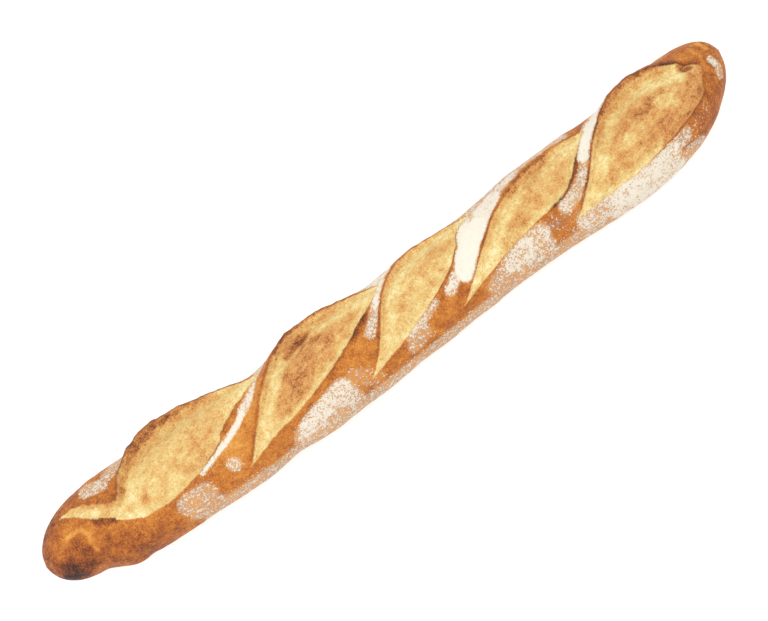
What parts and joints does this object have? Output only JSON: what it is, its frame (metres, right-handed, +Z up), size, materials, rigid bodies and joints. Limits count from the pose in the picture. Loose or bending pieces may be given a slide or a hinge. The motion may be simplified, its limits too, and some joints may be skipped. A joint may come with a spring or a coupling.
{
  "type": "baguette",
  "caption": "Long slim crusty loaf of wheat bread with slanting scored cuts, raised ears and a dusting of flour, lying on its flat base.",
  "frame": {"origin": "middle of the loaf's length and width, on the surface it lies on", "axes": "+X along the loaf, +Z up; the ears of the cuts stand on the +Y side"},
  "size_m": [0.5592, 0.0739, 0.0528],
  "materials": {
    "crust": "matte"
  },
  "bodies": {
    "root": {"loaf": "crust"}
  },
  "joints": []
}
